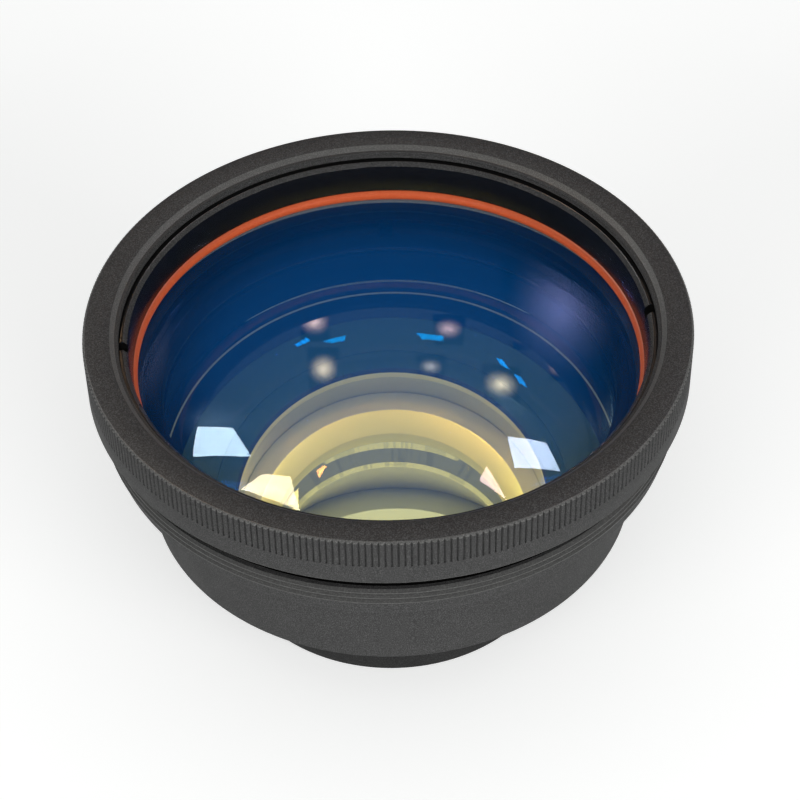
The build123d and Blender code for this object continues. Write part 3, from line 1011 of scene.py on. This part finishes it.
def glint_panel(name, turn, elevation, corners, colour, radiance, soft):
    """Glowing panel that only shows in reflections; corners are (right, up) seen from the lens."""
    middle = towards(turn, elevation) * panel_distance
    right = middle.cross(Vector((0, 0, 1))).normalized()
    up = right.cross(middle).normalized()
    bm = bmesh.new()
    bm.faces.new([bm.verts.new(middle + (right * x + up * y) * MM) for x, y in corners])
    panel_mesh = bpy.data.meshes.new(name)
    bm.to_mesh(panel_mesh)
    bm.free()
    glow = bpy.data.materials.new(name)
    glow.use_nodes = True
    nodes, links = glow.node_tree.nodes, glow.node_tree.links
    nodes.remove(nodes["Principled BSDF"])
    lamp = nodes.new("ShaderNodeEmission")
    lamp.inputs["Color"].default_value = (*colour, 1)
    lamp.inputs["Strength"].default_value = radiance
    links.new(lamp.outputs["Emission"], nodes["Material Output"].inputs["Surface"])
    if soft:
        fade = nodes.new("ShaderNodeGroup")
        fade.node_tree = soft_glow
        fade.inputs["Radiance"].default_value = radiance
        links.new(fade.outputs["Strength"], lamp.inputs["Strength"])
    panel_mesh.materials.append(glow)
    panel = bpy.data.objects.new(name, panel_mesh)
    bpy.context.scene.collection.objects.link(panel)
    panel.visible_camera = False
    panel.visible_diffuse = False
    panel.visible_shadow = False


soft_glow = soft_glow_group()
panel_distance = 0.9
for panel in (
    (
        "left_panel", -38.7, 46.1, [(1, -105), (50, 2), (13, 122), (-63, -18)],
        (1.0, 1.0, 1.0), 26, False,
    ),
    (
        "right_panel", 38.0, 55.0, [(-70, -12), (0, -70), (80, -25), (5, 60)],
        (1.0, 0.92, 1.0), 26, False,
    ),
    (
        "cream_panel", -41.3, 61.5, [(-49, -66), (14, -54), (47, 11), (-12, 109)],
        (1.0, 0.63, 0.34), 44, False,
    ),
    (
        "pink_panel", 36.7, 63.6, [(-22, 21), (-33, -27), (-11, -17), (65, 23)],
        (1.0, 0.53, 0.4), 40, False,
    ),
    (
        "rose_glow_left", -10.2, 28.9, [(-9, -102), (40, -74), (12, 102), (-43, 74)],
        (1.0, 0.55, 0.39), 24, True,
    ),
    (
        "rose_glow_middle", 9.1, 32.5, [(-40, -59), (22, -80), (38, 61), (-18, 79)],
        (1.0, 0.51, 0.41), 20, True,
    ),
    (
        "rose_glow_right", 19.8, 28.2, [(-52, -54), (7, -87), (48, 52), (-3, 89)],
        (1.0, 0.59, 0.39), 22, True,
    ),
    (
        "warm_glow_left", -12.2, 42.1, [(-10, -103), (51, -72), (7, 101), (-47, 75)],
        (1.0, 0.62, 0.33), 34, True,
    ),
    (
        "warm_glow_middle", 7.9, 43.3, [(-37, -44), (25, -57), (33, 45), (-21, 56)],
        (1.0, 0.69, 0.49), 16, True,
    ),
    (
        "warm_glow_right", 21.8, 43.6, [(-66, -55), (10, -91), (61, 54), (-6, 92)],
        (1.0, 0.65, 0.34), 34, True,
    ),
    (
        "rose_glow_far_right", 27.3, 33.9, [(-40, -33), (-3, -55), (38, 31), (7, 57)],
        (1.0, 0.51, 0.33), 13, True,
    ),
    (
        "blue_glint_1", -13.3, 33.8, [(-16, 2), (14, -18), (15, 2), (-13, 14)],
        (0.0, 0.4, 1.0), 16, False,
    ),
    (
        "blue_glint_2", -8.2, 35.2, [(-27, -5), (23, -13), (16, 8), (-13, 10)],
        (0.0, 0.47, 1.0), 12, False,
    ),
    (
        "blue_glint_3", 6.8, 35.4, [(-32, -12), (23, -10), (27, 11), (-18, 12)],
        (0.0, 0.47, 1.0), 12, False,
    ),
    (
        "blue_glint_4", 19.5, 38.3, [(-18, -12), (-3, -13), (19, 14), (3, 12)],
        (0.0, 0.4, 1.0), 18, False,
    ),
    (
        "blue_glint_5", 24.1, 40.8, [(-20, -13), (-4, -13), (22, 14), (2, 12)],
        (0.0, 0.4, 1.0), 14, False,
    ),
):
    glint_panel(*panel)

fill_distance = 1.5
fill_elevation = 16
for name, turn, power in (("left_fill", -140, 12.0), ("right_fill", 140, 15.0)):
    lamp = bpy.data.lights.new(name, "AREA")
    lamp.shape = "RECTANGLE"
    lamp.size = 1.0
    lamp.size_y = 0.7
    lamp.energy = power
    fill = bpy.data.objects.new(name, lamp)
    scene.collection.objects.link(fill)
    fill.location = towards(turn, fill_elevation) * fill_distance
    fill.rotation_mode = "QUATERNION"
    fill.rotation_quaternion = towards(turn, fill_elevation).to_track_quat("Z", "Y")
    fill.visible_glossy = False
    fill.visible_transmission = False

bore_light_height = 2.0
bore_light_degrees = 1.9
down_light = bpy.data.lights.new("bore_light", "SPOT")
down_light.spot_size = math.radians(bore_light_degrees)
down_light.spot_blend = 0.3
down_light.energy = 100.0
down_light.shadow_soft_size = 0.005
bore_light = bpy.data.objects.new("bore_light", down_light)
scene.collection.objects.link(bore_light)
bore_light.location = (0, 0, bore_light_height)
bore_light.visible_glossy = False
bore_light.visible_transmission = False

camera = bpy.data.objects.new("camera", bpy.data.cameras.new("camera"))
scene.collection.objects.link(camera)
camera.data.lens = 106.83
camera.data.sensor_width = 36.0
camera.data.clip_start = 0.01
camera.data.clip_end = 20.0
camera.location = (0, -0.2535, 0.2790)
camera.rotation_euler = (math.radians(45.711), math.radians(0.827), math.radians(-1.149))
scene.camera = camera

scene.view_settings.view_transform = "Standard"
scene.cycles.max_bounces = 32
scene.cycles.transmission_bounces = 28
scene.cycles.transparent_max_bounces = 32
scene.cycles.glossy_bounces = 8
scene.cycles.diffuse_bounces = 4
scene.cycles.caustics_refractive = False
scene.cycles.sample_clamp_indirect = 0.0
